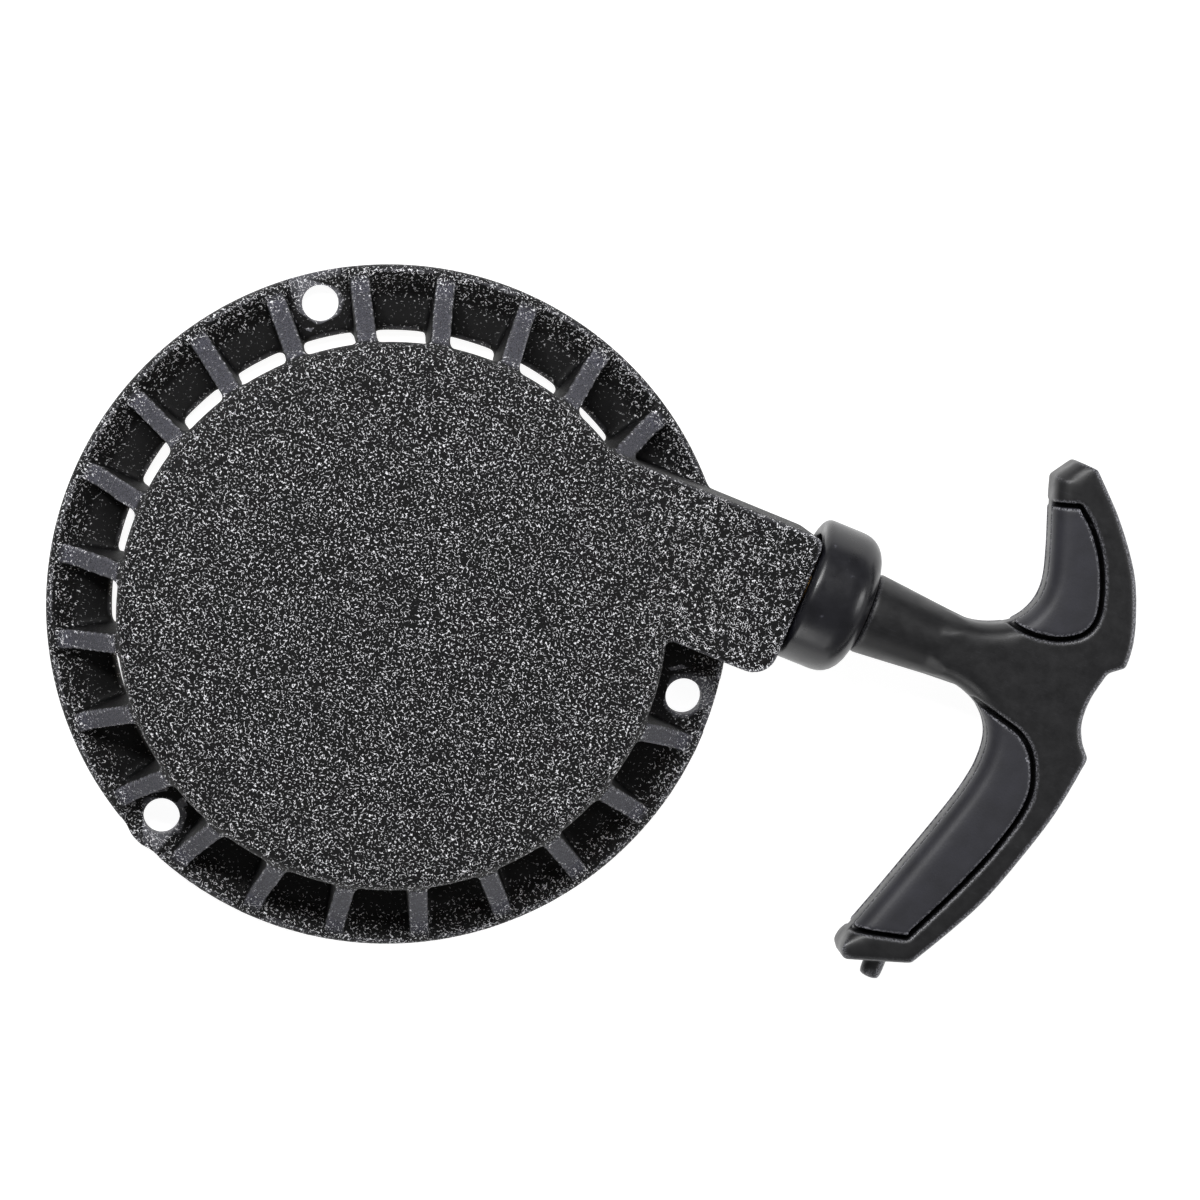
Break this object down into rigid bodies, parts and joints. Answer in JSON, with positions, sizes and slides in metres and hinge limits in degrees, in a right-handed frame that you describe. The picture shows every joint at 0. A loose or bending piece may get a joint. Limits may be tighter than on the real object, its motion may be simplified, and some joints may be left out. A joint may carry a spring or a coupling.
{
  "type": "recoil starter",
  "caption": "Pull-rope starter for a small two-stroke engine: ribbed round cast cover with a rope neck, sprung reel with swing-out pawls, and a T-handle on a rope.",
  "frame": {"origin": "on the reel's axis, in the plane of the ring's back face, which bolts to the crankcase", "axes": "+Z along the reel's axis, out of the cover and away from the engine; +X is the way the rope and handle are pulled"},
  "size_m": [0.2283, 0.1624, 0.0325],
  "materials": {
    "housing_coat": "die-cast aluminium with black crinkle coat",
    "plated_steel": "zinc plated",
    "pawl_steel": "hardened and blanked",
    "spring_steel": "blued, oiled",
    "reel_nylon": "natural moulded nylon",
    "guide_nylon": "black moulded nylon",
    "bronze": "sintered, oiled",
    "rope": "braided nylon",
    "handle_plastic": "satin moulded",
    "grip_plastic": "fine spark texture",
    "buffer_rubber": "smooth moulded"
  },
  "bodies": {
    "housing": {"housing": "housing_coat", "rope_guide_bush": "plated_steel", "spring_cup": "plated_steel", "recoil_spring": "spring_steel", "centre_screw": "plated_steel", "centre_washer": "plated_steel", "friction_spring": "spring_steel"},
    "reel": {"reel": "reel_nylon", "reel_bushing": "bronze", "rope_windings": "rope", "rope_reel_knot": "rope", "pawl_pin_1": "plated_steel", "pawl_pin_2": "plated_steel", "pawl_spring_1": "spring_steel", "pawl_spring_2": "spring_steel"},
    "guide_plate": {"pawl_guide": "guide_nylon"},
    "pawl_1": {"pawl_1": "pawl_steel"},
    "pawl_2": {"pawl_2": "pawl_steel"},
    "handle": {"handle_body": "handle_plastic", "handle_buffer": "buffer_rubber", "upper_grip_pad_front": "grip_plastic", "upper_grip_pad_back": "grip_plastic", "lower_grip_pad_front": "grip_plastic", "lower_grip_pad_back": "grip_plastic", "knot_washer": "plated_steel", "handle_knot": "rope", "rope_lead": "rope"}
  },
  "joints": [
    {"name": "handle_pull", "type": "slide", "parent": "housing", "child": "handle", "axis": [1, 0, 0], "range_m": [0, 0.66], "stiffness_N_per_m": 26, "springref_m": -0.31},
    {"name": "reel_spin", "type": "hinge", "parent": "housing", "child": "reel", "pos_m": [0, 0, 0.0165], "axis": [0, 0, -1], "range_deg": [0, 1180], "deforming": ["recoil_spring", "rope_windings"]},
    {"name": "guide_turn", "type": "hinge", "parent": "reel", "child": "guide_plate", "pos_m": [0, 0, 0.006], "axis": [0, 0, 1], "range_deg": [0, 20], "stiffness_Nm_per_rad": 0.01, "springref_deg": -11.46},
    {"name": "pawl_1_swing", "type": "hinge", "parent": "reel", "child": "pawl_1", "pos_m": [0, 0.0175, 0.0085], "axis": [0, 0, 1], "range_deg": [0, 25]},
    {"name": "pawl_2_swing", "type": "hinge", "parent": "reel", "child": "pawl_2", "pos_m": [0, -0.0175, 0.0085], "axis": [0, 0, 1], "range_deg": [0, 25]}
  ],
  "couplings": [
    {"joint": "reel_spin", "follows": "handle_pull", "rad_per_m": 31},
    {"joint": "pawl_1_swing", "follows": "guide_turn", "ratio": 1.25},
    {"joint": "pawl_2_swing", "follows": "guide_turn", "ratio": 1.25}
  ]
}
